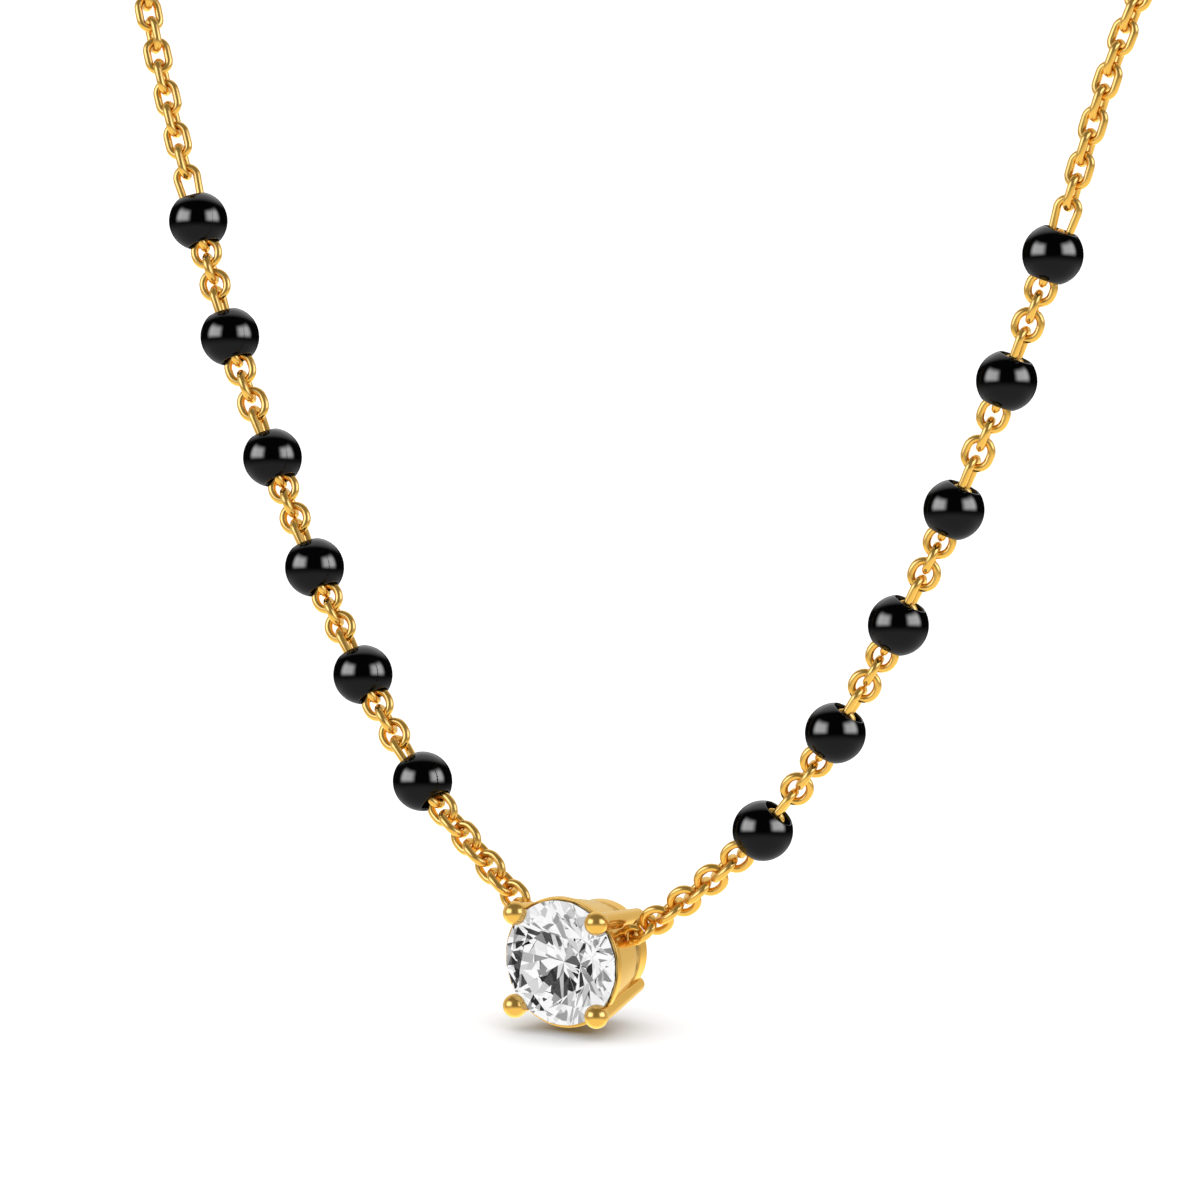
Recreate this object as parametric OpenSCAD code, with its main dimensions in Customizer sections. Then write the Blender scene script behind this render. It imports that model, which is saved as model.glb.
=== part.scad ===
// Mangalsutra: a solitaire in a four-prong basket between two cable chains,
// with six black beads threaded over each. Millimetres, worn upright:
// the stone faces -Y, +Z is up, and the origin is the spot on the nape
// that the clasp rests on. Left and right are as someone sees them who looks
// at the stone.

/* [Stone] */
// Diameter of the round brilliant at its girdle
stone_d = 6.5; // [6:0.1:7]
// Width of the table as a share of the diameter
table_share = 0.57; // [0.53:0.01:0.62]
// Slope of the crown's main facets, in degrees
crown_angle = 34.5; // [32:0.5:36]
// Slope of the pavilion's main facets, in degrees
pavilion_angle = 40.8; // [40:0.2:42]
// Height of the girdle
girdle_h = 0.14; // [0.1:0.02:0.2]

/* [Setting] */
// Gap between the stone and the metal around it
stone_gap = 0.06; // [0.04:0.01:0.08]
// Diameter of the ball at each prong's tip
ball_d = 1.24; // [1.2:0.02:1.26]
// Diameter of a prong's shaft at the ball, and at its rear end
prong_d = 1.1; // [1:0.02:1.12]
prong_rear_d = 0.84; // [0.8:0.02:0.9]
// Distance of a ball from the basket's middle, sideways and up
ball_out = 2.44; // [2.42:0.01:2.5]
// Distance of a prong's rear end from the basket's middle, sideways and up
prong_foot_out = 1.8; // [1.7:0.05:1.9]
// How far the balls stand in front of the girdle
ball_front = 0.5; // [0.45:0.05:0.55]
// How far behind the girdle the prongs end
basket_depth = 4.6; // [4.4:0.1:4.8]
// Outer diameter of the cup's rim, under the girdle
rim_d = 6.82; // [6.8:0.02:6.9]
// Outer diameter of the cup where it ends behind the stone
cup_rear_d = 5.52; // [5.4:0.02:5.6]
// How far behind the girdle the cup ends
cup_depth = 3; // [2.9:0.1:3.2]
// Outer diameter of the gallery ring behind the cup
gallery_d = 5.14; // [5.1:0.02:5.3]
// Wire of the two side loops
loop_wire = 0.34; // [0.32:0.02:0.4]
// Diameter of a side loop along the middle of its wire
loop_d = 0.92; // [0.9:0.02:1]

/* [Beads] */
// Diameter of a black bead
bead_d = 3.1; // [3:0.05:3.1]
// Diameter of the hole through a bead
bore_d = 1.62; // [1.6:0.02:1.7]
// Distances between the beads of the left side, from the pendant up
bead_gaps_left = [6.7, 6.4, 6.4, 7, 6.5]; // [6.4:0.1:7.2]
// Distances between the beads of the right side, from the pendant up
bead_gaps_right = [6.5, 6.5, 6.6, 7.1, 6.8]; // [6.4:0.1:7.2]

/* [Chain] */
// Diameter of the wire that the links are bent from
wire = 0.33; // [0.32:0.01:0.35]
// Play between two links
play = 0.12; // [0.11:0.01:0.13]
// Outer width of the round links, which show between the beads
ring_w = 1.64; // [1.6:0.01:1.66]
// Outer width of the slim links, which pass through the beads
slim_w = 1.26; // [1.24:0.01:1.3]
// Outer width of the oval links, from the top bead to the clasp
oval_w = 1.42; // [1.36:0.02:1.5]
// Outer width of the links that enter a bead from above
entry_w = 1.36; // [1.34:0.01:1.38]
// How much longer the links that enter a bead are than the others
entry_reach = 0.6; // [0.58:0.01:0.61]
// Distances from a bead's middle to the joint above, inside it, and to the one below
joint_above = 0.95; // [0.92:0.01:0.96]
joint_below = 1.32; // [1.31:0.01:1.34]
// Number of oval links on each side
ovals = 149; // [145:2:151]
// Number of links on each side that are made singly, before the tube begins
single_links = 110; // [60:2:112]
// Diameter of the tube that stands for the links round the back of the neck
tube_d = 1.4; // [1.2:0.1:1.6]

/* [Clasp] */
// Diameter of the barrel
barrel_d = 2.6; // [2.2:0.1:3]
// Length of the barrel
barrel_l = 7; // [6:0.5:7]
// Wire of the barrel's two eyes
eye_wire = 0.4; // [0.36:0.02:0.42]
// Diameter of an eye along the middle of its wire
eye_d = 1.2; // [1.16:0.02:1.3]

/* [Hidden] */
SIDES = ["left", "right"];
BEADS_A_SIDE = 6;

GOLD = "goldenrod";

// The clasp's middle, from the stone's middle, which the routes are measured from
CLASP_AT = [0, 110, 125];
NAPE = CLASP_AT - [0, barrel_d / 2, 0];

// Each half chain's route from its side loop up and round the neck. The first
// nine points are the photographed stretch, and the rest is the hidden one.
ROUTE_LEFT = [
    [-3.06, 2.42, 1.51], [-6, 2.7, 4], [-10.5, 3.5, 7.8], [-14.8, 4.5, 12.9], [-18.4, 5.5, 18.1],
    [-21.7, 6.6, 23.5], [-25.07, 7.81, 29.4], [-27.74, 8.93, 35.2], [-32.24, 11.13, 45.8],
    [-38, 15.8, 61.5], [-44.3, 25.5, 79.5], [-50, 40, 96], [-53, 58, 108.5],
    [-50.5, 77.5, 116.5], [-40, 95, 121.5], [-22, 106.5, 124.3], [-4.4, 110, 125]
];
ROUTE_RIGHT = [
    [3.07, 2.4, 1.47], [5.8, 2.6, 3.4], [10, 3.4, 7.4], [13.64, 4.42, 12.66], [16.63, 5.62, 18.37],
    [19.15, 6.83, 24.4], [21.42, 8.11, 31], [23.3, 9.4, 37.4], [26, 11.5, 48.3],
    [31.2, 16.6, 63], [39.3, 26.3, 80], [47.3, 40.5, 96], [52.3, 58, 108.5],
    [50.5, 77.5, 116.5], [40, 95, 121.5], [22, 106.5, 124.3], [4.4, 110, 125]
];
// Place in each route of the lowest bead
LOWEST_BEAD = 2;

// Turn of the chain about its own length: [distance from the side loop, degrees]
TURN_LEFT = [
    [0, -24], [8, -20], [13, -7], [43, -7], [46, -9], [48, -17], [50.6, -17], [53, 24], [60, 12],
    [215, 0]
];
TURN_RIGHT = [
    [0, 28], [0.5, 26], [1.5, 10], [10, 0], [20, -9], [43, -9], [47, -27], [60, -30], [215, 0]
];
// Further turn of a link seen edge-on where it enters a bead
ENTRY_TURN = -11;
// Way that the open links face, seen from above: [distance from the side loop,
// degrees from straight ahead towards the right]. Round the neck it is outwards.
FACING_LEFT = [[0, 31], [60, 31], [100, -30], [140, -90], [215, -178]];
FACING_RIGHT = [[0, 31], [60, 31], [100, 60], [140, 100], [215, 178]];

// How much higher the lowest bead of each side rides than the others
LOWEST_LIFT = [0.05, 0.17];

LOOP_AT = [2.9, 2.4, 1.35];
// Turn of each side loop about the line of its chain, from facing straight ahead
LOOP_TURN = [0, 30];
STEPS = 24;

// Number of a side: 0 for left, 1 for right
function route(side) = side == 0 ? ROUTE_LEFT : ROUTE_RIGHT;
function turns(side) = side == 0 ? TURN_LEFT : TURN_RIGHT;
function gaps(side) = side == 0 ? bead_gaps_left : bead_gaps_right;
function facing(side, s) =
    let (a = lookup(s, side == 0 ? FACING_LEFT : FACING_RIGHT))
    [sin(a), -cos(a), 0];

function unit(v) = v / norm(v);
function sum(v, n) = n <= 0 ? 0 : v[n - 1] + sum(v, n - 1);
function running(v) = [for (i = 0, s = 0; i <= len(v); s = s + (i < len(v) ? v[i] : 0), i = i + 1) s];

// Direction of the route at point i: the slopes on both sides, each weighted by
// the length of the other
function slope(p, i) = (p[i + 1] - p[i]) / norm(p[i + 1] - p[i]);
function heading(p, i) =
    i == 0 ? 2 * slope(p, 0) - heading(p, 1)
    : i == len(p) - 1 ? 2 * slope(p, i - 1) - heading(p, i - 1)
    : (slope(p, i - 1) * norm(p[i + 1] - p[i]) + slope(p, i) * norm(p[i] - p[i - 1]))
        / (norm(p[i + 1] - p[i]) + norm(p[i] - p[i - 1]));

// Point on the cubic curve from route point i to the next, t from 0 to 1
function on_span(p, h, i, t) =
    let (l = norm(p[i + 1] - p[i]))
    (2 * t ^ 3 - 3 * t ^ 2 + 1) * p[i] + (t ^ 3 - 2 * t ^ 2 + t) * l * h[i]
        + (3 * t ^ 2 - 2 * t ^ 3) * p[i + 1] + (t ^ 3 - t ^ 2) * l * h[i + 1];

function dense(p) =
    let (h = [for (i = [0 : len(p) - 1]) heading(p, i)])
    concat(
        [for (i = [0 : len(p) - 2], k = [0 : STEPS - 1]) on_span(p, h, i, k / STEPS)],
        [p[len(p) - 1]]
    );

CURVE = [for (side = [0, 1]) dense(route(side))];
ALONG = [for (side = [0, 1])
    running([for (i = [1 : len(CURVE[side]) - 1]) norm(CURVE[side][i] - CURVE[side][i - 1])])];
LENGTH = [for (side = [0, 1]) ALONG[side][len(ALONG[side]) - 1]];

// One [distance, coordinate] table per axis, for lookup()
AXES = [for (side = [0, 1], axis = [0 : 2])
    [for (i = [0 : len(CURVE[side]) - 1]) [ALONG[side][i], CURVE[side][i][axis]]]];
function at(side, s) = [for (axis = [0 : 2]) lookup(s, AXES[3 * side + axis])];

// Distance of each bead's middle along its chain, the lowest first
BEAD_S = [for (side = [0, 1]) [for (k = [0 : BEADS_A_SIDE - 1])
    ALONG[side][LOWEST_BEAD * STEPS] + sum(gaps(side), k)]];

// Links from the side loop up, in runs: [how many, pitch, width]
TOP = BEADS_A_SIDE - 1;
function below(side, k) = joint_below + (k == 0 ? LOWEST_LIFT[side] : 0);
function under_pitch(side) = (BEAD_S[side][0] - below(side, 0)) / 8;
function ring_pitch(side, k) = (gaps(side)[k] - joint_above - entry_reach - joint_below) / 4;
function oval_pitch(side) = (LENGTH[side] - BEAD_S[side][TOP] - joint_above - entry_reach) / ovals;
function runs(side) = concat(
    [[8, under_pitch(side), ring_w]],
    [for (k = [0 : TOP])
        let (
            inside = k < TOP ? 2 : 1,
            pitch = k < TOP ? ring_pitch(side, k) : oval_pitch(side),
            onward = k < TOP ? [3, pitch, ring_w] : [ovals - 1, pitch, oval_w]
        )
        each [
            [inside, (below(side, k) + joint_above) / inside, slim_w],
            [1, pitch + entry_reach, entry_w],
            onward
        ]]
);
LINKS = [for (side = [0, 1]) [for (run = runs(side), i = [1 : run[0]]) [run[1], run[2]]]];
JOINT = [for (side = [0, 1]) running([for (link = LINKS[side]) link[0]])];
// Links are bent to lengths of this step
LENGTH_STEP = 0.01;

// Axes of a side loop: along its chain, across it, and through its hole
function loop_axes(side) =
    let (
        p = route(side),
        t = unit(p[1] - p[0]),
        ahead = unit([0, 1, 0] - t[1] * t),
        hole = cos(LOOP_TURN[side]) * ahead + sin(LOOP_TURN[side]) * cross(t, ahead)
    )
    [t, cross(hole, t), hole];

// Axes of what runs along t and faces as given, turned about t: width, length, face
function run_axes(t, towards, turn = 0) =
    let (
        open = unit(towards - (towards * t) * t),
        face = cos(turn) * open + sin(turn) * cross(t, open)
    )
    [cross(t, face), t, face];

module placed() {
    translate(-NAPE) children();
}

// Moves children to a point with their x, y and z along three given axes
module along_axes(point, axes) {
    multmatrix([for (row = [0 : 2]) [axes[0][row], axes[1][row], axes[2][row], point[row]]])
        children();
}

module torus(d, thick, angle = 360, start = 0) {
    rotate_extrude(angle = angle, start = start, $fn = 48)
        translate([d / 2, 0]) circle(d = thick, $fn = 24);
}

// A wire link in the xy plane, its length along y: two half rings and two
// straight wires between them
module link(length, width) {
    bend = (width - wire) / 2;
    straight = length - wire - 2 * bend;
    for (end = [0, 1])
        translate([0, (end - 0.5) * straight, 0]) torus(2 * bend, wire, 180, 180 - 180 * end);
    for (hand = [-1, 1])
        translate([hand * bend, straight / 2, 0])
            rotate([90, 0, 0]) cylinder(d = wire, h = straight, $fn = 24);
}

// The links of one side, from number first to number last, counted from 0
module links(side, first, last) {
    for (i = [first : last]) {
        low = at(side, JOINT[side][i]);
        high = at(side, JOINT[side][i + 1]);
        middle = (JOINT[side][i] + JOINT[side][i + 1]) / 2;
        width = LINKS[side][i][1];
        across = (i % 2 == 0 ? 90 + (width == entry_w ? ENTRY_TURN : 0) : 0);
        turn = lookup(middle, turns(side)) + across;
        along_axes((low + high) / 2, run_axes(unit(high - low), facing(side, middle), turn))
            link(LENGTH_STEP * ceil((norm(high - low) + 2 * wire + play) / LENGTH_STEP), width);
    }
}

// The round brilliant, its table towards +z: table, crown's middle corners, both
// edges of the girdle, pavilion's middle corners and culet
module brilliant() {
    r = stone_d / 2;
    table_r = r * table_share;
    star_r = (table_r * cos(22.5) + r) / 2;
    lower_r = r * 0.24;
    crown_h = girdle_h / 2 + (r - table_r) * tan(crown_angle);
    star_h = girdle_h / 2 + (r - star_r * cos(22.5)) * tan(crown_angle);
    lower_h = -girdle_h / 2 - (r - lower_r * cos(22.5)) * tan(pavilion_angle);
    culet_h = -girdle_h / 2 - r * tan(pavilion_angle);
    table = 0;
    star = 8;
    upper = 16;
    under = 32;
    lower = 48;
    culet = 56;
    points = concat(
        [for (k = [0 : 7]) [table_r * cos(45 * k), table_r * sin(45 * k), crown_h]],
        [for (k = [0 : 7]) [star_r * cos(45 * k + 22.5), star_r * sin(45 * k + 22.5), star_h]],
        [for (z = [girdle_h / 2, -girdle_h / 2], k = [0 : 15]) [r * cos(22.5 * k), r * sin(22.5 * k), z]],
        [for (k = [0 : 7]) [lower_r * cos(45 * k + 22.5), lower_r * sin(45 * k + 22.5), lower_h]],
        [[0, 0, culet_h]]
    );
    faces = concat(
        [[for (k = [7 : -1 : 0]) table + k]],
        [for (k = [0 : 7]) let (n = (k + 1) % 8) [table + k, table + n, star + k]],
        [for (k = [0 : 7]) let (b = (k + 7) % 8) [table + k, star + k, upper + 2 * k, star + b]],
        [for (k = [0 : 7]) [star + k, upper + 2 * k + 1, upper + 2 * k]],
        [for (k = [0 : 7]) [star + k, upper + (2 * k + 2) % 16, upper + 2 * k + 1]],
        [for (k = [0 : 15]) let (n = (k + 1) % 16) [upper + k, upper + n, under + n, under + k]],
        [for (k = [0 : 7]) [lower + k, under + 2 * k, under + 2 * k + 1]],
        [for (k = [0 : 7]) [lower + k, under + 2 * k + 1, under + (2 * k + 2) % 16]],
        [for (k = [0 : 7]) let (b = (k + 7) % 8) [culet, lower + b, under + 2 * k, lower + k]]
    );
    polyhedron(points, faces);
}

// Everything within the stone gap of the brilliant, with both cones run to a point
module stone_room() {
    r = stone_d / 2 + stone_gap;
    half = girdle_h / 2 + stone_gap / 2;
    rotate_extrude($fn = 96)
        polygon([
            [0, half + r * tan(crown_angle)], [0, -half - r * tan(pavilion_angle)],
            [r, -half], [r, half]
        ]);
}

module cup() {
    rim_r = rim_d / 2;
    rear_r = cup_rear_d / 2;
    wall = 0.34;
    rim_front = -0.15;
    rim_h = 0.32;
    step = 0.08;
    rotate_extrude($fn = 96)
        polygon([
            [rim_r - 2 * step, rim_front], [rim_r - step / 2, rim_front],
            [rim_r, rim_front - step / 2], [rim_r, rim_front - rim_h],
            [rim_r - step, rim_front - rim_h - step],
            [rear_r, -cup_depth], [rear_r - wall, -cup_depth],
            [rim_r - step - wall - 0.1, rim_front - rim_h - step], [rim_r - 0.45, rim_front]
        ]);
}

module gallery() {
    gallery_r = gallery_d / 2;
    front = 3.7;
    height = 0.7;
    thick = 0.5;
    translate([0, 0, -front - height])
        rotate_extrude($fn = 96)
            translate([gallery_r - thick, 0]) square([thick, height]);
}

// A prong in the corner right and up: a ball, a shaft and a round rear end
module prong() {
    tip = [ball_out, ball_out, ball_front];
    foot = [prong_foot_out, prong_foot_out, -basket_depth];
    reach = tip - foot;
    translate(tip) sphere(d = ball_d, $fn = 48);
    translate(foot) sphere(d = prong_rear_d, $fn = 48);
    translate(foot)
        rotate([0, acos(reach[2] / norm(reach)), atan2(reach[1], reach[0])])
            cylinder(d1 = prong_rear_d, d2 = prong_d, h = norm(reach), $fn = 48);
}

// Stands the stone and its setting up: local +z becomes the front, local +y up
module facing_front() {
    rotate([90, 0, 0]) children();
}

module stone() {
    color("white") placed() facing_front() rotate(11.25) brilliant();
}

module setting() {
    color(GOLD) placed() difference() {
        union() {
            facing_front() cup();
            facing_front() gallery();
            facing_front() for (corner = [0 : 90 : 270]) rotate(corner) prong();
            for (side = [0, 1])
                along_axes([(2 * side - 1) * LOOP_AT[0], LOOP_AT[1], LOOP_AT[2]], loop_axes(side))
                    torus(loop_d, loop_wire);
        }
        facing_front() stone_room();
    }
}

// Bead k of a side, counted from 1 at the bottom
module bead(side, k) {
    s = BEAD_S[side][k - 1];
    through = unit(at(side, s + bead_d / 2) - at(side, s - bead_d / 2));
    color("#141414") placed()
        along_axes(at(side, s), run_axes(through, facing(side, s)))
            rotate([90, 0, 0]) difference() {
                sphere(d = bead_d, $fn = 96);
                cylinder(d = bore_d, h = 2 * bead_d, center = true, $fn = 48);
            }
}

module chain_front(side) {
    color(GOLD) placed() links(side, 0, single_links - 1);
}

// The rest of the chain as one tube with eight sides, from the last single link
// to the eye of the clasp
module chain_back(side) {
    link_gap = 0.3;
    eye_gap = 0.75;
    sides = 8;
    from = JOINT[side][single_links] + wire + play / 2 + link_gap;
    to = LENGTH[side] - eye_gap;
    rings = round((to - from) / (2.5 * tube_d));
    points = [for (j = [0 : rings], k = [0 : sides - 1])
        let (
            s = from + (to - from) * j / rings,
            t = unit(at(side, s + 0.5) - at(side, s - 0.5)),
            axes = run_axes(t, facing(side, s)),
            a = 360 * k / sides
        )
        at(side, s) + (cos(a) * axes[0] + sin(a) * axes[2]) * tube_d / 2];
    faces = concat(
        [[for (k = [sides - 1 : -1 : 0]) k]],
        [for (j = [0 : rings - 1], k = [0 : sides - 1])
            let (a = j * sides + k, b = j * sides + (k + 1) % sides)
            each [[a, b, b + sides], [a, b + sides, a + sides]]],
        [[for (k = [0 : sides - 1]) rings * sides + k]]
    );
    color(GOLD) placed() polyhedron(points, faces);
}

// A plain barrel with round shoulders and an eye soldered to each end
module clasp() {
    r = barrel_d / 2;
    shoulder = 0.5;
    eye_at = 4.4 - eye_d / 2 + eye_wire / 2 + play / 2;
    color(GOLD) placed() translate(CLASP_AT) {
        rotate([0, 90, 0])
            rotate_extrude($fn = 96)
                polygon([
                    [0, -barrel_l / 2], [r - shoulder, -barrel_l / 2], [r, -barrel_l / 2 + shoulder],
                    [r, barrel_l / 2 - shoulder], [r - shoulder, barrel_l / 2], [0, barrel_l / 2]
                ]);
        for (hand = [-1, 1]) translate([hand * eye_at, 0, 0]) torus(eye_d, eye_wire);
    }
}

stone();
setting();
clasp();
for (side = [0, 1]) {
    chain_front(side);
    chain_back(side);
    for (k = [1 : BEADS_A_SIDE])
        bead(side, k);
}
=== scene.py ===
import bmesh
import bpy
import numpy as np
from mathutils import Matrix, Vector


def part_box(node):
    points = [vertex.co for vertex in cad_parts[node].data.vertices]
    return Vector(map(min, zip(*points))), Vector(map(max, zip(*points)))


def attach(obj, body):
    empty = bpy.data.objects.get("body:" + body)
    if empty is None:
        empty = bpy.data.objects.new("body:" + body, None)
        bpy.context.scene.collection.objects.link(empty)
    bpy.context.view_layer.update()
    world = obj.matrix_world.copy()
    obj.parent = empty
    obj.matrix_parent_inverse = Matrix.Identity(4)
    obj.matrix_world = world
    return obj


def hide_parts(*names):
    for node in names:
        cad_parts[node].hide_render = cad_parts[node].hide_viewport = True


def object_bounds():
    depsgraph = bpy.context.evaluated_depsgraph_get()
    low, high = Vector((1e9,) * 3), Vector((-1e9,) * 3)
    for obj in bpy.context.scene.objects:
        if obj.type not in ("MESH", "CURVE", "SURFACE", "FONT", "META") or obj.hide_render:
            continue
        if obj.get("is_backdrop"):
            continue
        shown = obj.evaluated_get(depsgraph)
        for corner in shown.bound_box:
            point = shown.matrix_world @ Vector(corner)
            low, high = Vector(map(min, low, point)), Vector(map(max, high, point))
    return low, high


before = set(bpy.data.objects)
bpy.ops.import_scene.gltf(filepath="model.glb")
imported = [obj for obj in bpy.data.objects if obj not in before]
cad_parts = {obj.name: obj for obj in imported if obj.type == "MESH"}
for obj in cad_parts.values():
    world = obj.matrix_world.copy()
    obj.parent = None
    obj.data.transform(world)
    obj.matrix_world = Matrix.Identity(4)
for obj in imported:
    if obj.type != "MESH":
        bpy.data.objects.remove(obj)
cad_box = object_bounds()
MM = 0.001

# Stone: a round brilliant of white diamond, with a table, 32 crown facets, 24 pavilion
# facets and a fine girdle, each cut flat and polished on the wheel. It rests in the cup
# of the setting, under the balls of the four prongs.
STONE_D = 6.5 * MM
GIRDLE_H = 0.14 * MM
TABLE_SHARE = 0.57
LOWER_SHARE = 0.24
CROWN_ANGLE = np.radians(34.5)
PAVILION_ANGLE = np.radians(40.8)
STONE_TURN = 11.25
# Degrees between a main facet's middle and its edge
HALF_FACET = 22.5
CROWN_H = GIRDLE_H / 2 + STONE_D / 2 * (1 - TABLE_SHARE) * np.tan(CROWN_ANGLE)
stone_low, stone_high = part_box("stone")
GIRDLE_MIDDLE = np.array([
    (stone_low.x + stone_high.x) / 2,
    stone_low.y + CROWN_H,
    (stone_low.z + stone_high.z) / 2,
])


def linear(hex_colour):
    """An sRGB hex colour as linear red, green, blue and alpha."""
    srgb = np.array([int(hex_colour[i:i + 2], 16) for i in (1, 3, 5)]) / 255
    return *np.where(srgb <= 0.04045, srgb / 12.92, ((srgb + 0.055) / 1.055) ** 2.4), 1.0


def add_node(tree, kind, settings=None, inputs=None, links=None):
    """Adds a node with its settings and input values, and links named inputs to given outputs."""
    node = tree.nodes.new(kind)
    for name, value in (settings or {}).items():
        setattr(node, name, value)
    for name, value in (inputs or {}).items():
        node.inputs[name].default_value = value
    for name, output in (links or {}).items():
        tree.links.new(output, node.inputs[name])
    return node


def new_material(name):
    """An empty node material and its tree."""
    material = bpy.data.materials.new(name)
    material.use_nodes = True
    material.node_tree.nodes.clear()
    return material, material.node_tree


# Colourless diamond: light goes in through the front facets, bends, is thrown back by the
# rear ones as by mirrors, and comes out again, which gives white and dark flashes.
ENTRY_IOR = 2.417
EXIT_IOR = 1.6
# The rear facets begin just behind the girdle's edge
REAR_EDGE = GIRDLE_MIDDLE[1] + 0.51 * GIRDLE_H
cut_diamond, tree = new_material("cut_diamond")
place = add_node(tree, "ShaderNodeTexCoord")
depth = add_node(tree, "ShaderNodeSeparateXYZ", links={"Vector": place.outputs["Object"]})
rear = add_node(
    tree, "ShaderNodeMath", {"operation": "GREATER_THAN"},
    {1: float(REAR_EDGE)}, {0: depth.outputs["Y"]},
)
entry = add_node(tree, "ShaderNodeBsdfRefraction", inputs={"Roughness": 0.0, "IOR": ENTRY_IOR})
leaving = add_node(tree, "ShaderNodeBsdfGlass", inputs={"Roughness": 0.0, "IOR": EXIT_IOR})
thrown_back = add_node(
    tree, "ShaderNodeBsdfGlossy", inputs={"Roughness": 0.0, "Color": linear("#FFFFFF")},
)
inside = add_node(
    tree, "ShaderNodeMixShader",
    links={0: rear.outputs["Value"], 1: leaving.outputs["BSDF"], 2: thrown_back.outputs["BSDF"]},
)
surface = add_node(tree, "ShaderNodeNewGeometry")
shader = add_node(
    tree, "ShaderNodeMixShader",
    links={0: surface.outputs["Backfacing"], 1: entry.outputs["BSDF"], 2: inside.outputs["Shader"]},
)
add_node(tree, "ShaderNodeOutputMaterial", links={"Surface": shader.outputs["Shader"]})


def corner_ring(radius, height, count, turn=0):
    """Points evenly round the stone's axis, their radius and height over the girdle in mm."""
    angle = np.radians(STONE_TURN + turn + 360 / count * np.arange(count))
    return np.stack([radius * np.cos(angle), radius * np.sin(angle), np.full(count, height)], 1)


def brilliant_facets():
    """Three points, in mm, on each facet but the table. The middle corners of crown and pavilion
    lie in the planes of the main facets on both sides of them."""
    r, half = STONE_D / 2 / MM, GIRDLE_H / 2 / MM
    between = np.cos(np.radians(HALF_FACET))
    star_r, lower_r = r * (TABLE_SHARE * between + 1) / 2, r * LOWER_SHARE
    table = corner_ring(r * TABLE_SHARE, CROWN_H / MM, 8)
    star = corner_ring(star_r, half + (r - star_r * between) * np.tan(CROWN_ANGLE), 8, HALF_FACET)
    upper, under = (corner_ring(r, height, 16) for height in (half, -half))
    lower_depth = -half - (r - lower_r * between) * np.tan(PAVILION_ANGLE)
    lower = corner_ring(lower_r, lower_depth, 8, HALF_FACET)
    culet = np.broadcast_to([0, 0, -half - r * np.tan(PAVILION_ANGLE)], (8, 3))
    before, after = (lambda ring: np.roll(ring, 1, 0)), (lambda ring: np.roll(ring, -1, 0))
    return np.concatenate([np.stack(corners, 1) for corners in (
        (table, after(table), star),
        (table, star, before(star)),
        (star, upper[::2], upper[1::2]),
        (star, upper[1::2], after(upper[::2])),
        (lower, under[::2], under[1::2]),
        (lower, under[1::2], after(under[::2])),
        (culet, lower, before(lower)),
    )])


def hand_over(name, shape, material, slot_name, nodes):
    """Makes an object of the built shape, hides the nodes that it stands in for, and hangs it from the
    root body.
    """
    mesh = bpy.data.meshes.new(name)
    shape.to_mesh(mesh)
    shape.free()
    mesh.materials.append(material)
    piece = bpy.data.objects.new(name, mesh)
    bpy.context.scene.collection.objects.link(piece)
    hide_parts(*nodes)
    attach(piece, "root")
    # What shows through the stone is its tent alone
    piece.visible_transmission = slot_name == "diamond"


# A turned blank, then one flat cut for each facet, as on the wheel, all in mm
BLANK_STEPS = 128
CUT_PRECISION = 1e-5
r, top, bottom = STONE_D / 2 / MM, CROWN_H / MM, -STONE_D / 2 / MM
shape = bmesh.new()
bmesh.ops.create_cone(
    shape, cap_ends=True, segments=BLANK_STEPS, radius1=r, radius2=r, depth=top - bottom,
)
bmesh.ops.translate(shape, verts=shape.verts, vec=(0, 0, (top + bottom) / 2))
for facet in brilliant_facets():
    normal = np.cross(facet[1] - facet[0], facet[2] - facet[0])
    normal *= np.sign(normal @ facet.mean(0))
    bmesh.ops.bisect_plane(
        shape, geom=shape.verts[:] + shape.edges[:] + shape.faces[:], dist=CUT_PRECISION,
        plane_co=facet[0], plane_no=normal, clear_outer=True,
    )
    bmesh.ops.holes_fill(shape, edges=shape.edges)
bmesh.ops.recalc_face_normals(shape, faces=shape.faces)
bmesh.ops.transform(shape, verts=shape.verts, matrix=Matrix((
    (MM, 0, 0, GIRDLE_MIDDLE[0]),
    (0, 0, -MM, GIRDLE_MIDDLE[1]),
    (0, MM, 0, GIRDLE_MIDDLE[2]),
    (0, 0, 0, 1),
)))
hand_over("brilliant", shape, cut_diamond, "diamond", ["stone"])

# Setting: a four-prong basket of yellow gold. A turned cup holds the stone at its girdle,
# four round wires with melted ball tips are soldered into it and into a gallery ring
# behind it, and a small wire loop on each side carries the chain. All of it is polished.
SEAT_GAP = 0.06 * MM
CUP_CORNERS = np.array([
    [3.25, 0.15], [3.41, 0.15], [3.41, 0.47], [3.33, 0.55],
    [2.76, 3.0], [2.42, 3.0], [2.89, 0.55], [2.96, 0.15],
]) * MM
GALLERY_CORNERS = np.array([[2.07, 3.7], [2.57, 3.7], [2.57, 4.4], [2.07, 4.4]]) * MM
EDGE_ROUNDING = 0.05 * MM
TURNED_STEPS = 160
# Points closer than this are one
DOUBLE = 1e-4 * MM
BALL_R = 0.62 * MM
PRONG_R = 0.55 * MM
PRONG_REAR_R = 0.42 * MM
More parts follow.
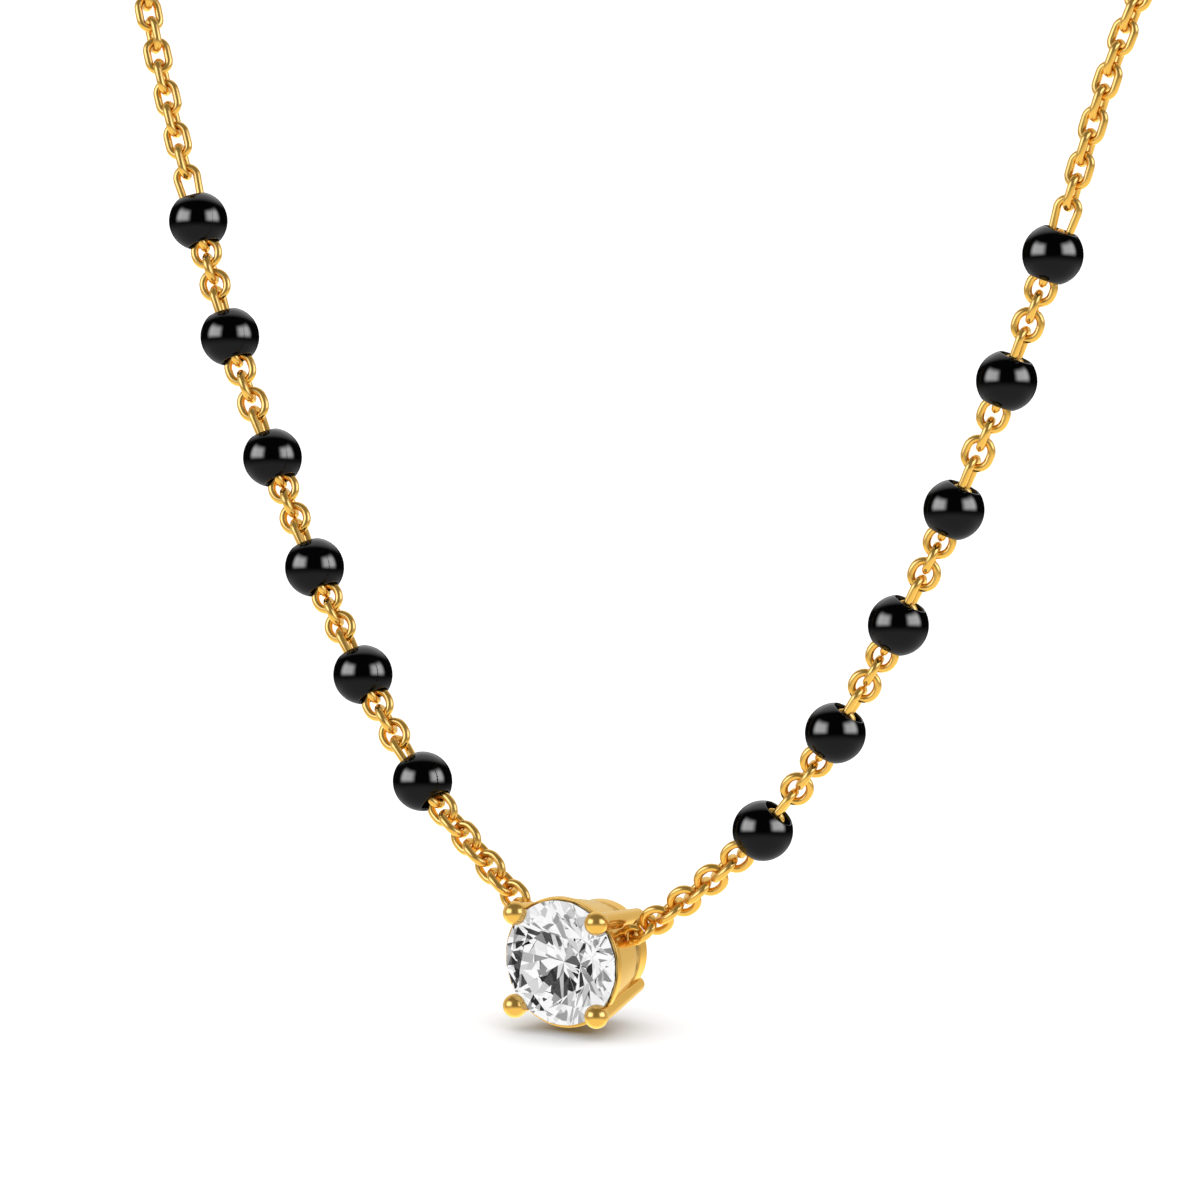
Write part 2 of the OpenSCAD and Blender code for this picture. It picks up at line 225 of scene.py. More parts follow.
# The higher, the sharper the turn from a prong's rod to its ball
PRONG_BLEND = 16
PRONG_TIP = np.array([2.44, -0.5, 2.44]) * MM
PRONG_FOOT = np.array([1.8, 4.6, 1.8]) * MM
LOOP_AT = np.array([2.9, 2.4, 1.35]) * MM
LOOP_R = 0.46 * MM
LOOP_WIRE_R = 0.17 * MM
LOOP_TURN = {"left": 0.0, "right": 30.0}


def rounded(corners, radius, arc_points=5, straight_points=6):
    """A closed outline with each corner replaced by an arc that touches both its sides, and
    points spread along the sides between the arcs. An arc takes up 0.4 of a side at most."""
    before, after = np.roll(corners, 1, 0) - corners, np.roll(corners, -1, 0) - corners
    side = np.linalg.norm(after, axis=1)
    before /= np.linalg.norm(before, axis=1)[:, None]
    after /= side[:, None]
    half = np.arccos(np.clip((before * after).sum(1), -1, 1)) / 2
    shortest = np.minimum(side, np.roll(side, 1))
    cut = np.minimum(radius / np.tan(half), 0.4 * shortest)
    blend = np.linspace(0, 1, arc_points)[None, :, None]
    start, end = corners + before * cut[:, None], corners + after * cut[:, None]
    arcs = ((1 - blend) ** 2 * start[:, None] + 2 * blend * (1 - blend) * corners[:, None]
            + blend ** 2 * end[:, None])
    along = np.linspace(0, 1, straight_points + 2)[None, 1:-1, None]
    straights = (1 - along) * end[:, None] + along * np.roll(start, -1, 0)[:, None]
    return np.concatenate([arcs, straights], 1).reshape(-1, 2)


def turned(outline, steps, centre, across, up, ahead):
    """A grid of points: the outline's (radius, depth) turned about the line along ahead."""
    angle = np.linspace(0, 2 * np.pi, steps, endpoint=False)[:, None, None]
    radius, depth = outline[:, 0, None], outline[:, 1, None]
    return centre + radius * (np.cos(angle) * across + np.sin(angle) * up) + depth * ahead


def ring_grid(centre, radius, wire_radius, across, up, through, steps=64, sides=24):
    """A wire ring: the wire's circle, set off by the ring's radius, turned about through."""
    angle = np.linspace(0, 2 * np.pi, sides, endpoint=False)
    section = np.stack([radius + wire_radius * np.cos(angle), wire_radius * np.sin(angle)], 1)
    return turned(section, steps, centre, across, up, through)


def out_of_seat(points):
    """Moves what lies in the stone's room straight out from the stone's axis to the room's side.
    The room is the crown cone, the girdle and the pavilion cone, set off by the seat's gap."""
    offset = points - GIRDLE_MIDDLE
    radius = np.hypot(offset[..., 0], offset[..., 2])
    room = STONE_D / 2 + SEAT_GAP
    for way, angle in ((-1, CROWN_ANGLE), (1, PAVILION_ANGLE)):
        beyond_girdle = way * offset[..., 1] - GIRDLE_H / 2
        cone = STONE_D / 2 + SEAT_GAP / np.sin(angle) - beyond_girdle / np.tan(angle)
        room = np.minimum(room, cone)
    stretch = np.maximum(1, room / radius)
    return GIRDLE_MIDDLE + offset * np.stack([stretch, np.ones_like(stretch), stretch], -1)


def prong_grid(foot, tip, steps=96, sides=48):
    """A prong: round about the line from foot to tip, its radius the smooth greater of that of a
    round-ended rod, which tapers to the foot, and of the ball's at the tip."""
    line = tip - foot
    length = np.linalg.norm(line)
    along = line / length
    across = np.cross(along, [0, 0, 1])
    across /= np.linalg.norm(across)
    turn = np.linspace(0, np.pi, steps)
    reach = length + PRONG_REAR_R + BALL_R
    at = -PRONG_REAR_R + reach * (1 - np.cos(turn)) / 2
    rod = PRONG_REAR_R + (PRONG_R - PRONG_REAR_R) * np.clip(at / length, 0, 1)
    beyond = np.where(at < 0, at, np.clip(at - length, 0, None))
    rod = np.sqrt(np.clip(rod ** 2 - beyond ** 2, 0, None))
    ball = np.sqrt(np.clip(BALL_R ** 2 - (at - length) ** 2, 0, None))
    radius = (rod ** PRONG_BLEND + ball ** PRONG_BLEND) ** (1 / PRONG_BLEND)
    outline = np.stack([radius, at], 1)
    return turned(outline, sides, foot, across, np.cross(along, across), along)


def grid_faces(rows, columns, first):
    """Quads of a grid whose rows and columns both close on themselves, from the first point on."""
    r, c = np.arange(rows)[:, None], np.arange(columns)[None, :]
    r_next, c_next = (r + 1) % rows, (c + 1) % columns
    corners = [(r, c), (r, c_next), (r_next, c_next), (r_next, c)]
    return first + np.stack([row * columns + column for row, column in corners], -1).reshape(-1, 4)


def joined(grids):
    """Several closed grids as one list of points and one of faces. Poles are rows whose points
    coincide, and merge later."""
    points, faces, first = [], [], 0
    for grid in grids:
        points.append(grid.reshape(-1, 3))
        faces.append(grid_faces(grid.shape[0], grid.shape[1], first))
        first += grid.shape[0] * grid.shape[1]
    return np.concatenate(points), np.concatenate(faces)


def add_piece(name, grids, material, slot_name, nodes):
    """Makes a smooth piece of the grids, with its doubles merged and its faces outward."""
    points, faces = joined(grids)
    mesh = bpy.data.meshes.new(name)
    mesh.from_pydata(points, [], faces)
    mesh.shade_smooth()
    shape = bmesh.new()
    shape.from_mesh(mesh)
    bpy.data.meshes.remove(mesh)
    bmesh.ops.remove_doubles(shape, verts=shape.verts, dist=DOUBLE)
    bmesh.ops.recalc_face_normals(shape, faces=shape.faces)
    hand_over(name, shape, material, slot_name, nodes)


RIGHT, BACK, UP = np.eye(3)

# Polished yellow gold: a deep warm mirror. Polishing by hand leaves the surface a little
# uneven over tenths of a millimetre, which bends the reflections, and its finest marks
# add a soft sheen that keeps the shaded parts warm.
polished_gold, tree = new_material("polished_yellow_gold")
GOLD_HEX = "#F0C472"
SHEEN_SHARE = 0.25
SHEEN_ROUGHNESS = 0.4
BUFFING_GRAIN = 0.7 * MM
MIRROR_ROUGHNESS = 0.08, 0.16
UNEVENNESS_H = 0.012 * MM
place = add_node(tree, "ShaderNodeTexCoord")
buffing = add_node(
    tree, "ShaderNodeTexNoise",
    inputs={"Scale": 1 / BUFFING_GRAIN, "Detail": 2.0},
    links={"Vector": place.outputs["Object"]},
)
haze = add_node(
    tree, "ShaderNodeMapRange",
    inputs={"To Min": MIRROR_ROUGHNESS[0], "To Max": MIRROR_ROUGHNESS[1]},
    links={"Value": buffing.outputs["Fac"]},
)
unevenness = add_node(
    tree, "ShaderNodeBump",
    inputs={"Strength": 0.25, "Distance": UNEVENNESS_H},
    links={"Height": buffing.outputs["Fac"]},
)
mirror = add_node(
    tree, "ShaderNodeBsdfPrincipled",
    inputs={"Base Color": linear(GOLD_HEX), "Metallic": 1.0},
    links={"Roughness": haze.outputs["Result"], "Normal": unevenness.outputs["Normal"]},
)
sheen = add_node(
    tree, "ShaderNodeBsdfPrincipled",
    inputs={"Base Color": linear(GOLD_HEX), "Metallic": 1.0, "Roughness": SHEEN_ROUGHNESS},
)
both = add_node(
    tree, "ShaderNodeMixShader", inputs={0: SHEEN_SHARE},
    links={1: mirror.outputs["BSDF"], 2: sheen.outputs["BSDF"]},
)
add_node(tree, "ShaderNodeOutputMaterial", links={"Surface": both.outputs["Shader"]})

# Chain: two halves of fine cable chain, bent link by link from gold wire and soldered shut.
# Round links show between the beads, slim ones pass through them, and ovals run on from
# the top bead, round the neck, to the clasp. Each link lies across its neighbours.
SIDES = {"left": -1, "right": 1}
# Route of each half from its side loop, in millimetres from the stone's middle
ROUTE = {
    "left": [
        (-3.06, 2.42, 1.51), (-6, 2.7, 4), (-10.5, 3.5, 7.8), (-14.8, 4.5, 12.9),
        (-18.4, 5.5, 18.1), (-21.7, 6.6, 23.5), (-25.07, 7.81, 29.4), (-27.74, 8.93, 35.2),
        (-32.24, 11.13, 45.8),
        (-38, 15.8, 61.5), (-44.3, 25.5, 79.5), (-50, 40, 96), (-53, 58, 108.5),
        (-50.5, 77.5, 116.5), (-40, 95, 121.5), (-22, 106.5, 124.3), (-4.4, 110, 125),
    ],
    "right": [
        (3.07, 2.4, 1.47), (5.8, 2.6, 3.4), (10, 3.4, 7.4), (13.64, 4.42, 12.66),
        (16.63, 5.62, 18.37), (19.15, 6.83, 24.4), (21.42, 8.11, 31), (23.3, 9.4, 37.4),
        (26, 11.5, 48.3),
        (31.2, 16.6, 63), (39.3, 26.3, 80), (47.3, 40.5, 96), (52.3, 58, 108.5),
        (50.5, 77.5, 116.5), (40, 95, 121.5), (22, 106.5, 124.3), (4.4, 110, 125),
    ],
}
LOWEST_BEAD = 2
CURVE_STEPS = 24
# Turn of the links about the route, and the way that they face, both in degrees, at
# millimetres from the side loop
TURN = {
    "left": [
        (0, -24), (8, -20), (13, -7), (43, -7), (46, -9), (48, -17), (50.6, -17), (53, 24),
        (60, 12), (215, 0),
    ],
    "right": [
        (0, 28), (0.5, 26), (1.5, 10), (10, 0), (20, -9), (43, -9), (47, -27), (60, -30),
        (215, 0),
    ],
}
# Further turn of a link seen edge-on where it enters a bead
ENTRY_TURN = -11
FACING = {
    "left": [(0, 31), (60, 31), (100, -30), (140, -90), (215, -178)],
    "right": [(0, 31), (60, 31), (100, 60), (140, 100), (215, 178)],
}
# Wire and links are drawn a little fuller than they are made, as bright thin wire looks finer
# than it is before a white ground
WIRE = 0.43 * MM
PLAY = 0.04 * MM
RING_W = 1.70 * MM
SLIM_W = 1.33 * MM
OVAL_W = 1.48 * MM
ENTRY_W = 1.54 * MM
ENTRY_REACH = 0.6 * MM
LINKS_BELOW_BEADS = 8
SLIM_LINKS = 2
RINGS = 3
OVALS = 149
# Distances from a bead's middle to the joint above, inside it, and to the one below
JOINT_ABOVE = 0.95 * MM
JOINT_BELOW = 1.32 * MM
LOWEST_LIFT = {"left": 0.05 * MM, "right": 0.17 * MM}
# The first links of each half, which show from near, have the finer mesh: [points on each half
# ring, sides of the wire]
FINE_LINKS = 56
FINE_MESH = 13, 12
COARSE_MESH = 6, 6
BEAD_GAPS = {
    "left": np.array([6.7, 6.4, 6.4, 7, 6.5]) * MM,
    "right": np.array([6.5, 6.5, 6.6, 7.1, 6.8]) * MM,
}


def unit(v):
    """Each vector, over its length."""
    return v / np.linalg.norm(v, axis=-1, keepdims=True)


def curve_through(points):
    """Cubic curve through the points. Its heading at a point is the mean of the slopes on both
    sides, each weighted by the other's length."""
    span = np.diff(points, axis=0)
    length = np.linalg.norm(span, axis=1)[:, None]
    slope = span / length
    inner = (slope[:-1] * length[1:] + slope[1:] * length[:-1]) / (length[1:] + length[:-1])
    heading = np.concatenate([2 * slope[:1] - inner[:1], inner, 2 * slope[-1:] - inner[-1:]])
    t = (np.arange(CURVE_STEPS) / CURVE_STEPS)[None, :, None]
    curve = ((2 * t ** 3 - 3 * t ** 2 + 1) * points[:-1, None]
             + (t ** 3 - 2 * t ** 2 + t) * (length * heading[:-1])[:, None]
             + (3 * t ** 2 - 2 * t ** 3) * points[1:, None]
             + (t ** 3 - t ** 2) * (length * heading[1:])[:, None])
    return np.concatenate([curve.reshape(-1, 3), points[-1:]])


def at_distance(curve, along, distance):
    """Points of the curve at the given distances along it."""
    return np.stack([np.interp(distance, along, curve[:, axis]) for axis in range(3)], -1)


def from_table(table, distance):
    """The table's value at each distance, on a straight line between its rows."""
    place, value = np.array(table, float).T
    return np.interp(distance, place * MM, value)


def facing(side, distance):
    """The level direction that the links face at each distance, as a unit vector."""
    angle = np.radians(from_table(FACING[side], distance))
    return np.stack([np.sin(angle), -np.cos(angle), np.zeros_like(angle)], -1)


def run_axes(along, towards, turn):
    """Width, length and face directions of what runs along a line: it faces as given, as nearly
    as the line lets it, and is turned about the line by turn degrees."""
    open_face = unit(towards - (towards * along).sum(-1, keepdims=True) * along)
    angle = np.radians(np.asarray(turn, float))[..., None]
    face = np.cos(angle) * open_face + np.sin(angle) * np.cross(along, open_face)
    return np.cross(along, face), along, face


def link_sizes(side, beads_at, length):
    """The pitch and width of every link, from the side loop up."""
    below = JOINT_BELOW + LOWEST_LIFT[side]
    runs = [(LINKS_BELOW_BEADS, (beads_at[0] - below) / LINKS_BELOW_BEADS, RING_W)]
    for gap in BEAD_GAPS[side]:
        pitch = (gap - JOINT_ABOVE - ENTRY_REACH - JOINT_BELOW) / (1 + RINGS)
        runs += [
            (SLIM_LINKS, (below + JOINT_ABOVE) / SLIM_LINKS, SLIM_W),
            (1, pitch + ENTRY_REACH, ENTRY_W),
            (RINGS, pitch, RING_W),
        ]
        below = JOINT_BELOW
    pitch = (length - beads_at[-1] - JOINT_ABOVE - ENTRY_REACH) / OVALS
    runs += [
        (1, below + JOINT_ABOVE, SLIM_W),
        (1, pitch + ENTRY_REACH, ENTRY_W),
        (OVALS - 1, pitch, OVAL_W),
    ]
    return np.concatenate([np.full((count, 2), (pitch, width)) for count, pitch, width in runs])


def link_grids(low, high, width, axes, arc_points, sides):
    """Wire links: a circle of the wire's size carried round two half rings and the two straights
    between them, in the plane of each link's width and length. A link that enters a bead is as
    slim as the next at its lower end."""
    length = np.linalg.norm(high - low, axis=1)[:, None] + WIRE + PLAY
    half_turn = np.linspace(0, np.pi, arc_points)
    angle = np.concatenate([half_turn, half_turn + np.pi])
    end = np.repeat([1, -1], arc_points)
    low_width = np.where(width == ENTRY_W, SLIM_W, width)
    bend = (np.where(end > 0, width[:, None], low_width[:, None]) - WIRE) / 2
    x = bend * np.cos(angle)
    y = bend * np.sin(angle) + (length / 2 - bend) * end
    section = np.linspace(0, 2 * np.pi, sides, endpoint=False)
    out = WIRE / 2 * np.cos(section)
    x = x[:, :, None] + out * np.cos(angle)[:, None]
    y = y[:, :, None] + out * np.sin(angle)[:, None]
    z = np.broadcast_to(WIRE / 2 * np.sin(section), x.shape)
    middle = (low + high) / 2
    wide, long, face = (axis[:, None, None] for axis in axes)
    return middle[:, None, None] + x[..., None] * wide + y[..., None] * long + z[..., None] * face


curves, distances, bead_places = {}, {}, {}
for side in SIDES:
    curve = curve_through(GIRDLE_MIDDLE + np.array(ROUTE[side]) * MM)
    along = np.concatenate([[0], np.cumsum(np.linalg.norm(np.diff(curve, axis=0), axis=1))])
    lowest_at = along[LOWEST_BEAD * CURVE_STEPS]
    curves[side], distances[side] = curve, along
    bead_places[side] = lowest_at + np.concatenate([[0], np.cumsum(BEAD_GAPS[side])])
    pitch, width = link_sizes(side, bead_places[side], along[-1]).T
    joint = np.concatenate([[0], np.cumsum(pitch)])
    low, high = (at_distance(curve, along, d) for d in (joint[:-1], joint[1:]))
    halfway = (joint[:-1] + joint[1:]) / 2
    every_other = np.arange(len(pitch)) % 2 == 0
    quarter = np.where(every_other, 90 + ENTRY_TURN * (width == ENTRY_W), 0)
    turn = from_table(TURN[side], halfway) + quarter
    axes = run_axes(unit(high - low), facing(side, halfway), turn)
    grids = []
    for part, detail in ((slice(FINE_LINKS), FINE_MESH), (slice(FINE_LINKS, None), COARSE_MESH)):
        part_axes = [axis[part] for axis in axes]
        grids += list(link_grids(low[part], high[part], width[part], part_axes, *detail))
    nodes = [f"chain_{side}_front", f"chain_{side}_back"]
    add_piece(f"chain_{side}", grids, polished_gold, "gold", nodes)

# The basket itself, now that the way each chain pulls its side loop is known
cup, gallery = (
    turned(rounded(corners, EDGE_ROUNDING), TURNED_STEPS, GIRDLE_MIDDLE, RIGHT, UP, BACK)
    for corners in (CUP_CORNERS, GALLERY_CORNERS)
)
grids = [out_of_seat(cup), gallery]
for corner in ((1, 1, 1), (-1, 1, 1), (-1, 1, -1), (1, 1, -1)):
    foot, tip = GIRDLE_MIDDLE + PRONG_FOOT * corner, GIRDLE_MIDDLE + PRONG_TIP * corner
    grids.append(out_of_seat(prong_grid(foot, tip)))
for side, hand in SIDES.items():
    pull = unit(np.subtract(*ROUTE[side][1::-1]))
    across, pull, through = run_axes(pull, -BACK, LOOP_TURN[side])
    centre = GIRDLE_MIDDLE + LOOP_AT * [hand, 1, 1]
    grids.append(ring_grid(centre, LOOP_R, LOOP_WIRE_R, pull, across, through))
add_piece("basket", grids, polished_gold, "gold", ["setting"])

# Beads: six balls of black onyx on each side, ground round, drilled and tumbled to a glassy
# polish. The chain passes through them, and each rests on the round link below it.
BEAD_R = 1.55 * MM
BORE_R = 0.81 * MM
MOUTH_ROUNDING = 0.05 * MM
BALL_STEPS = 96


def bead_outline(arc_points=56, bore_points=8):
    """(radius, depth) round a drilled ball: the ball's arc from mouth to mouth, then back
    through the bore, with both mouths' edges rounded."""
    edge = np.arcsin((BORE_R + MOUTH_ROUNDING) / BEAD_R)
    angle = np.linspace(edge, np.pi - edge, arc_points)
    ball = np.stack([BEAD_R * np.sin(angle), BEAD_R * np.cos(angle)], 1)
    mouth = BEAD_R * np.cos(edge) - MOUTH_ROUNDING
    bore = np.stack([np.full(bore_points, BORE_R), np.linspace(-mouth, mouth, bore_points)], 1)
    return np.concatenate([ball, bore])


# Black onyx: opaque and black throughout, tumbled to a glassy polish that mirrors the room
# without any blur
black_onyx, tree = new_material("tumbled_black_onyx")
shader = add_node(
    tree, "ShaderNodeBsdfPrincipled",
    inputs={
        "Base Color": linear("#030303"),
        "Roughness": 0.0,
        "IOR": 1.54,
        "Specular IOR Level": 0.3,
    },
)
add_node(tree, "ShaderNodeOutputMaterial", links={"Surface": shader.outputs["BSDF"]})

for side in SIDES:
    for number, distance in enumerate(bead_places[side], 1):
        middle, lower, upper = (
            at_distance(curves[side], distances[side], distance + reach)
            for reach in (0, -BEAD_R, BEAD_R)
        )
        across, through, face = run_axes(unit(upper - lower), facing(side, distance), 0)
        grid = turned(bead_outline(), BALL_STEPS, middle, across, face, through)
        add_piece(f"onyx_{side}_{number}", [grid], black_onyx, "onyx", [f"bead_{side}_{number}"])

# Clasp: a plain gold barrel at the nape, turned and polished, with a wire eye soldered to
# each end for the last link.
CLASP_AT = np.array([0, 1.3, 0]) * MM
BARREL_CORNERS = np.array([
    [0, -3.5], [0.8, -3.5], [1.3, -3.0], [1.3, 3.0], [0.8, 3.5], [0, 3.5],
]) * MM
BARREL_ROUNDING = 0.2 * MM
BARREL_STEPS = 96
EYE_AT = 4.06 * MM
EYE_R = 0.6 * MM
EYE_WIRE_R = 0.2 * MM

# The rounding of the two corners on the axis is left out, so that the ends close
barrel = rounded(BARREL_CORNERS, BARREL_ROUNDING)
off_axis = barrel[barrel[:, 0] > BARREL_ROUNDING]
barrel = np.concatenate([BARREL_CORNERS[:1], off_axis, BARREL_CORNERS[-1:]])
grids = [turned(barrel, BARREL_STEPS, CLASP_AT, BACK, UP, RIGHT)]
for hand in SIDES.values():
    centre = CLASP_AT + hand * EYE_AT * RIGHT
    grids.append(ring_grid(centre, EYE_R, EYE_WIRE_R, RIGHT, BACK, UP))
add_piece("barrel_clasp", grids, polished_gold, "gold", ["clasp"])

# Floor: a wide sheet of matt white board, just under the pendant
FLOOR_GAP = 0.3 * MM
FLOOR_Z = GIRDLE_MIDDLE[2] - CUP_CORNERS[:, 0].max() - FLOOR_GAP
FLOOR_HALF = 4.0
white_board, tree = new_material("matt_white_board")
shader = add_node(tree, "ShaderNodeBsdfDiffuse", inputs={"Color": linear("#F4F4F4")})
add_node(tree, "ShaderNodeOutputMaterial", links={"Surface": shader.outputs["BSDF"]})
mesh = bpy.data.meshes.new("floor")
signs = ((-1, -1), (1, -1), (1, 1), (-1, 1))
mesh.from_pydata([(x * FLOOR_HALF, y * FLOOR_HALF, FLOOR_Z) for x, y in signs], [], [(0, 1, 2, 3)])
mesh.materials.append(white_board)
floor = bpy.data.objects.new("floor", mesh)
bpy.context.scene.collection.objects.link(floor)
floor.visible_glossy = floor.visible_transmission = False
floor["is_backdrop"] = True

# Camera: a long lens, a little to the right of the stone's face and above it. The image is
# 1200 pixels square, and the stone's middle lies at the given pixel of it.
IMAGE_PX = 1200
STONE_AT_PX = (560.5, 963.0)
PX_PER_MM = 19.49
CAMERA_AZIMUTH, CAMERA_ELEVATION = np.radians([31.0, 10.5])
CAMERA_DISTANCE = 520 * MM
SENSOR_MM = 36

camera_back = np.array([
    np.sin(CAMERA_AZIMUTH) * np.cos(CAMERA_ELEVATION),
    -np.cos(CAMERA_AZIMUTH) * np.cos(CAMERA_ELEVATION),
    np.sin(CAMERA_ELEVATION),
])
camera_right = np.array([np.cos(CAMERA_AZIMUTH), np.sin(CAMERA_AZIMUTH), 0])
camera_up = np.cross(camera_back, camera_right)
off_x, off_y = np.array([1, -1]) * (IMAGE_PX / 2 - np.array(STONE_AT_PX)) / PX_PER_MM * MM
camera_at = GIRDLE_MIDDLE + off_x * camera_right + off_y * camera_up + CAMERA_DISTANCE * camera_back
camera_data = bpy.data.cameras.new("camera")
camera_data.sensor_width = SENSOR_MM
camera_data.lens = PX_PER_MM * CAMERA_DISTANCE / MM / IMAGE_PX * SENSOR_MM
camera_data.clip_start, camera_data.clip_end = 10 * MM, 20.0
camera = bpy.data.objects.new("camera", camera_data)
camera.matrix_world = Matrix([
    [camera_right[i], camera_up[i], camera_back[i], camera_at[i]] for i in range(3)
] + [[0, 0, 0, 1]])
bpy.context.scene.collection.objects.link(camera)
bpy.context.scene.camera = camera

# Light: one wide panel overhead lights the board. The metal and the beads mirror a dark room
# with a soft-edged softbox on each side of the camera, a grey board below and a pale wall
# ahead. The stone gathers its light from a bright tent that is open, and dark, at the front.
PANEL_SIZE = 5.0
PANEL_HEIGHT = 1.2
PANEL_RADIANCE = 1.65
# Brightness of the softboxes, the board and the wall. The glassy beads show the softboxes at
# their full brightness and nothing of the wall, and the metal shows all three softened
ON_METAL = 2.45, 0.9, 0.78
ON_BEADS = 12.0, 0.55, 0.0
# The metal sees cool softboxes in a warm room, which keeps its highlights pale and its shade deep
SOFTBOX_HEX = "#DCE4FF"
ROOM_HEX = "#FFF5C8"

data = bpy.data.lights.new("overhead_panel", "AREA")
data.size = PANEL_SIZE
data.energy = PANEL_RADIANCE * np.pi * PANEL_SIZE ** 2
panel = bpy.data.objects.new("overhead_panel", data)
panel.location = GIRDLE_MIDDLE + UP * PANEL_HEIGHT
bpy.context.scene.collection.objects.link(panel)
panel.visible_camera = panel.visible_glossy = panel.visible_transmission = False

world = bpy.data.worlds.new("studio")
bpy.context.scene.world = world
world.cycles_visibility.diffuse = False
world.use_nodes = True
tree = world.node_tree
tree.nodes.clear()
view = add_node(tree, "ShaderNodeTexCoord")
aside, upward, toward = (
    add_node(tree, "ShaderNodeVectorMath", {"operation": "DOT_PRODUCT"}, {1: tuple(axis)},
             {0: view.outputs["Generated"]}).outputs["Value"]
    for axis in (camera_right, camera_up, camera_back)
)
azimuth = add_node(tree, "ShaderNodeMath", {"operation": "ARCTAN2"}, links={0: aside, 1: toward})
swing = add_node(tree, "ShaderNodeMath", {"operation": "ABSOLUTE"}, links={0: azimuth.outputs["Value"]})

# A softbox glows between these two edges on each side, and between these two up and down.
# Each edge is soft: [fully dark, fully bright]
SOFTBOX_SWING = np.radians([[24, 48], [102, 76]])
SOFTBOX_HEIGHT = np.sin(np.radians([[-8, 10], [46, 24]]))
boxes = None
for value, edges in ((swing.outputs["Value"], SOFTBOX_SWING), (upward, SOFTBOX_HEIGHT)):
    for dark, bright in edges:
        edge = add_node(
            tree, "ShaderNodeMapRange", {"interpolation_type": "SMOOTHSTEP"},
            {"From Min": dark, "From Max": bright}, {"Value": value},
        ).outputs["Result"]
        boxes = edge if boxes is None else add_node(
            tree, "ShaderNodeMath", {"operation": "MULTIPLY"}, links={0: boxes, 1: edge},
        ).outputs["Value"]
# A dimmer skylight glows above and beyond the piece: [fully dark, fully bright, brightness]
SKYLIGHT = 0.7, 0.95, 0.1
SKYLIGHT_AT = 0.8 * camera_up - 0.6 * camera_back
high_ahead = add_node(
    tree, "ShaderNodeVectorMath", {"operation": "DOT_PRODUCT"}, {1: tuple(SKYLIGHT_AT)},
    {0: view.outputs["Generated"]},
)
dark, bright, brightness = SKYLIGHT
skylight = add_node(
    tree, "ShaderNodeMapRange", {"interpolation_type": "SMOOTHSTEP"},
    {"From Min": dark, "From Max": bright, "To Max": brightness},
    {"Value": high_ahead.outputs["Value"]},
)
boxes = add_node(
    tree, "ShaderNodeMath", {"operation": "ADD"}, links={0: boxes, 1: skylight.outputs["Result"]},
).outputs["Value"]
# The room grows brighter towards the board below and the wall ahead: [from, to, least]
BOARD = 0.0, -0.5, 0.02
WALL = 0.0, -0.6, 0.3
board, wall = (
    add_node(
        tree, "ShaderNodeMapRange", {"interpolation_type": "SMOOTHSTEP"},
        {"From Min": start, "From Max": end, "To Min": least}, {"Value": value},
    ).outputs["Result"]
    for value, (start, end, least) in ((upward, BOARD), (toward, WALL))
)
room = add_node(tree, "ShaderNodeCombineXYZ", links={"X": boxes, "Y": board, "Z": wall})
metal_rgb = [
    (ON_METAL[0] * cool, ON_METAL[1] * warm, ON_METAL[2] * warm)
    for cool, warm in zip(linear(SOFTBOX_HEX)[:3], linear(ROOM_HEX)[:3])
]
on_beads, *on_metal = (
    add_node(
        tree, "ShaderNodeVectorMath", {"operation": "DOT_PRODUCT"}, {1: brightness},
        {0: room.outputs["Vector"]},
    ).outputs["Value"]
    for brightness in (ON_BEADS, *metal_rgb)
)
on_metal = add_node(tree, "ShaderNodeCombineXYZ", links=dict(enumerate(on_metal)))
ray = add_node(tree, "ShaderNodeLightPath")
mirrored = add_node(
    tree, "ShaderNodeMix", {"data_type": "RGBA"},
    links={0: ray.outputs["Is Singular Ray"], 6: on_metal.outputs["Vector"], 7: on_beads},
)
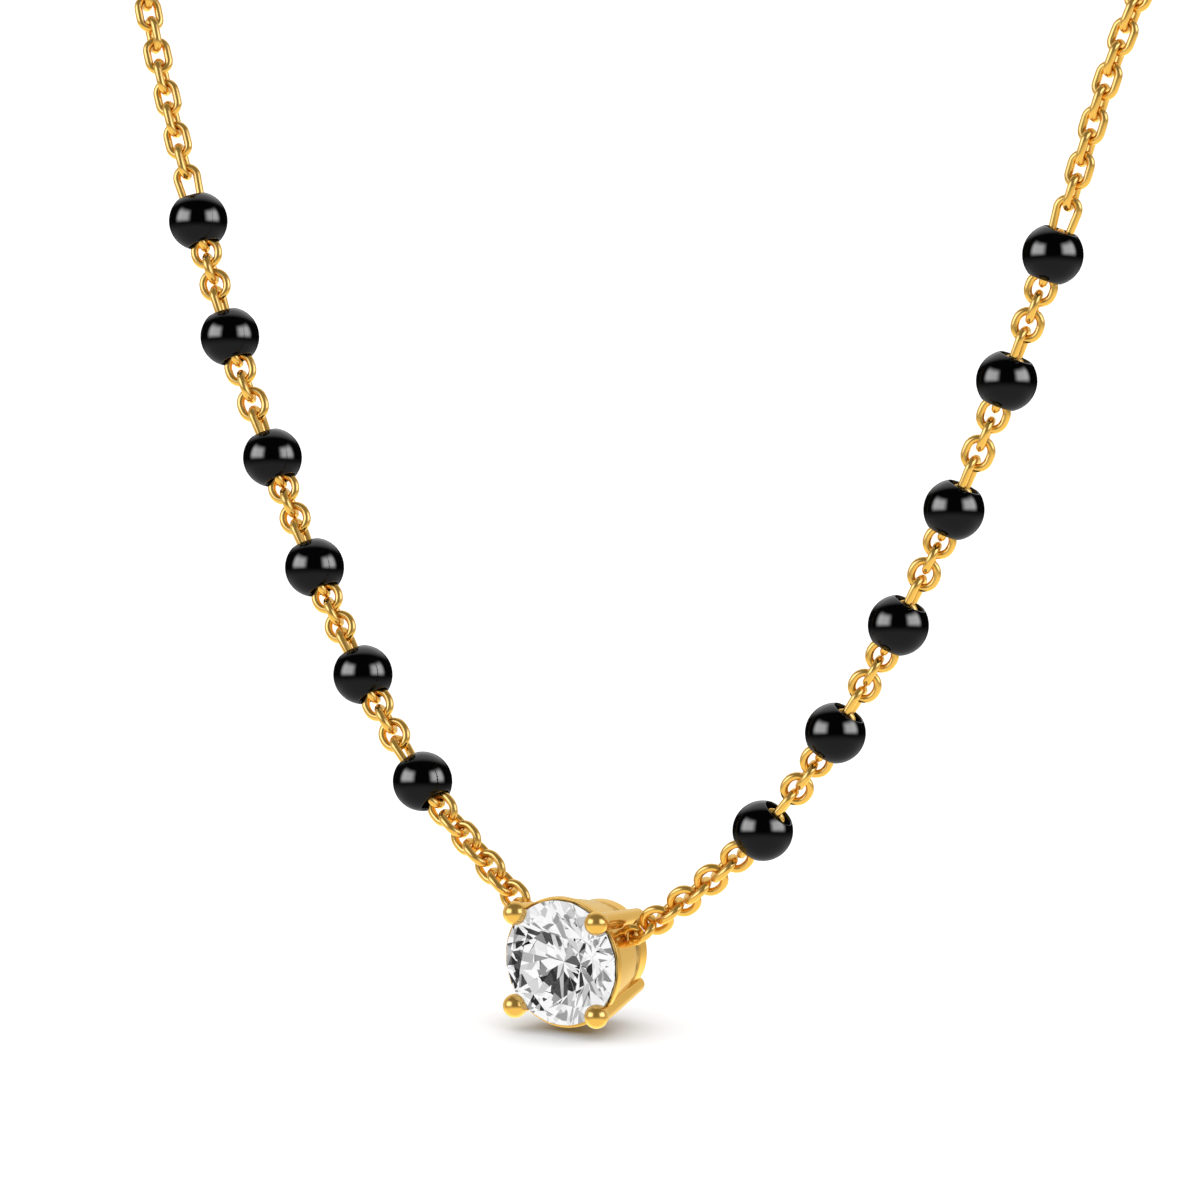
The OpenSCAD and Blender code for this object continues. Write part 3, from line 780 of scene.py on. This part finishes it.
# The tent round the stone: pleated white cloth with an opening in front of the stone
OPENING = np.radians([-2, 9])
OPENING_EDGE = np.cos(np.radians([14, 18]))
OPENING_DARK = 0.03
PLEATS = 7.0
# Shades of the cloth, from where and up to where the pleats' height takes it
CLOTH = 0.3, 1.0
CLOTH_FROM = 0.35, 0.55
front = (
    np.sin(OPENING[0]) * np.cos(OPENING[1]),
    -np.cos(OPENING[0]) * np.cos(OPENING[1]),
    np.sin(OPENING[1]),
)
off_front = add_node(
    tree, "ShaderNodeVectorMath", {"operation": "DOT_PRODUCT"}, {1: front},
    {0: view.outputs["Generated"]},
)
pleats = add_node(
    tree, "ShaderNodeTexNoise", inputs={"Scale": PLEATS, "Detail": 1.0},
    links={"Vector": view.outputs["Generated"]},
)
cloth = add_node(
    tree, "ShaderNodeMapRange", {"interpolation_type": "SMOOTHSTEP"},
    {
        "From Min": CLOTH_FROM[0], "From Max": CLOTH_FROM[1],
        "To Min": CLOTH[0], "To Max": CLOTH[1],
    },
    {"Value": pleats.outputs["Fac"]},
)
tent = add_node(
    tree, "ShaderNodeMapRange", {"interpolation_type": "SMOOTHSTEP"},
    {"From Min": OPENING_EDGE[0], "From Max": OPENING_EDGE[1], "To Min": OPENING_DARK},
    {"Value": off_front.outputs["Value"], "To Max": cloth.outputs["Result"]},
)
seen = add_node(
    tree, "ShaderNodeMix", {"data_type": "RGBA"},
    links={0: ray.outputs["Is Transmission Ray"], 6: mirrored.outputs[2], 7: tent.outputs["Result"]},
)
# What the gold and the stone throw on the board is dim
THROWN = 0.4
lit = add_node(
    tree, "ShaderNodeMix", {"data_type": "RGBA"}, {7: (THROWN, THROWN, THROWN, 1.0)},
    {0: ray.outputs["Diffuse Depth"], 6: seen.outputs[2]},
)
sky = add_node(tree, "ShaderNodeBackground", links={"Color": lit.outputs[2]})
add_node(tree, "ShaderNodeOutputWorld", links={"Surface": sky.outputs["Background"]})
bpy.context.scene.view_settings.view_transform = "Standard"

boxes = {"cad": cad_box, "visual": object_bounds()}
